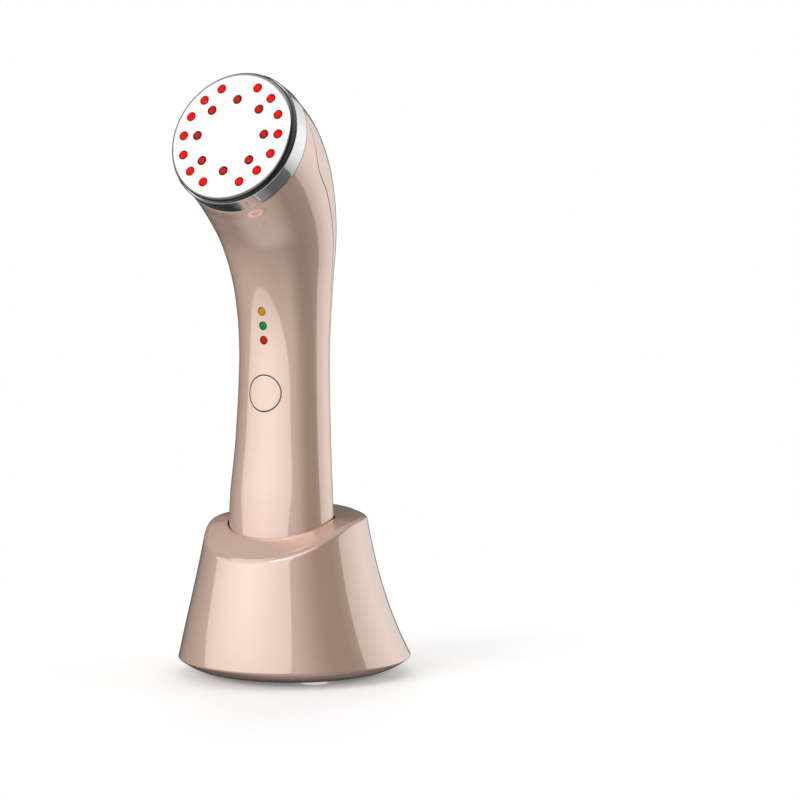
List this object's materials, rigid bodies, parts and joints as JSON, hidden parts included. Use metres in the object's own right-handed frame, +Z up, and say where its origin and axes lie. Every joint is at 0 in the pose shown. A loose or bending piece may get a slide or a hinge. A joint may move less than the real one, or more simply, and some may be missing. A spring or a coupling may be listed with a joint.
{
  "type": "ultrasonic beauty device",
  "caption": "Handheld facial device with a tilted round lit head, front power button, rear mode button and a metal loop down its back, standing in a flared charging dock.",
  "frame": {"origin": "on the table, under the middle of the whole part's box", "axes": "+Z up; the lit face looks towards -Y and up; the charging socket is at +Y; +X is to the right seen from the front"},
  "size_m": [0.0794, 0.0886, 0.2018],
  "materials": {
    "rose_shell": "pearl rose-gold lacquer, gloss",
    "polished_chrome": "polished plating",
    "red_lens": "clear red lens, lit",
    "led_chip": "moulded light chip",
    "circuit_board": "green solder mask",
    "ultrasonic_ceramic": "unglazed, silvered faces",
    "black_plastic": "fine matt",
    "plated_steel": "nickel plated",
    "yellow_guide": "clear yellow light guide",
    "green_guide": "clear green light guide",
    "red_guide": "clear red light guide",
    "battery_sleeve": "shrink sleeve",
    "gold_contact": "gold plated",
    "white_rubber": "translucent white",
    "ballast_iron": "raw"
  },
  "bodies": {
    "dock": {"dock_shell": "rose_shell", "dock_well": "rose_shell", "base_plate": "black_plastic", "dock_feet": "white_rubber", "base_screws": "plated_steel", "ballast_plate": "ballast_iron", "contact_block": "black_plastic", "block_screws": "plated_steel", "pin_barrels": "gold_contact", "dock_board": "circuit_board", "usb_socket": "plated_steel", "usb_tongue": "black_plastic"},
    "handset": {"front_shell": "rose_shell", "rear_shell": "rose_shell", "head_collar": "polished_chrome", "face_plate": "polished_chrome", "led_lenses_inner": "red_lens", "led_lenses_outer": "red_lens", "led_chips": "led_chip", "led_board": "circuit_board", "ultrasonic_disc": "ultrasonic_ceramic", "electrode_loop": "polished_chrome", "rear_inlay": "rose_shell", "mode_bezel": "polished_chrome", "mode_switch": "plated_steel", "mode_board": "circuit_board", "power_switch": "plated_steel", "indicator_yellow": "yellow_guide", "indicator_green": "green_guide", "indicator_red": "red_guide", "main_board": "circuit_board", "battery": "battery_sleeve", "shell_screws": "plated_steel", "foot_cap": "black_plastic", "charge_contacts": "gold_contact"},
    "power_key": {"power_button": "rose_shell", "power_plunger": "black_plastic"},
    "mode_key": {"mode_button": "rose_shell", "mode_plunger": "black_plastic"},
    "left_pin": {"left_pin": "gold_contact"},
    "right_pin": {"right_pin": "gold_contact"}
  },
  "joints": [
    {"name": "handset_lift", "type": "slide", "parent": "dock", "child": "handset", "axis": [0, 0, 1], "range_m": [0, 0.06]},
    {"name": "power_press", "type": "slide", "parent": "handset", "child": "power_key", "axis": [0, 1, 0], "range_m": [0, 0.0004], "stiffness_N_per_m": 1000},
    {"name": "mode_press", "type": "slide", "parent": "handset", "child": "mode_key", "axis": [0, -0.9639, -0.2663], "range_m": [0, 0.0004], "stiffness_N_per_m": 1000},
    {"name": "left_pin_press", "type": "slide", "parent": "dock", "child": "left_pin", "axis": [0, 0, -1], "range_m": [0, 0.0007], "stiffness_N_per_m": 400},
    {"name": "right_pin_press", "type": "slide", "parent": "dock", "child": "right_pin", "axis": [0, 0, -1], "range_m": [0, 0.0007], "stiffness_N_per_m": 400}
  ]
}
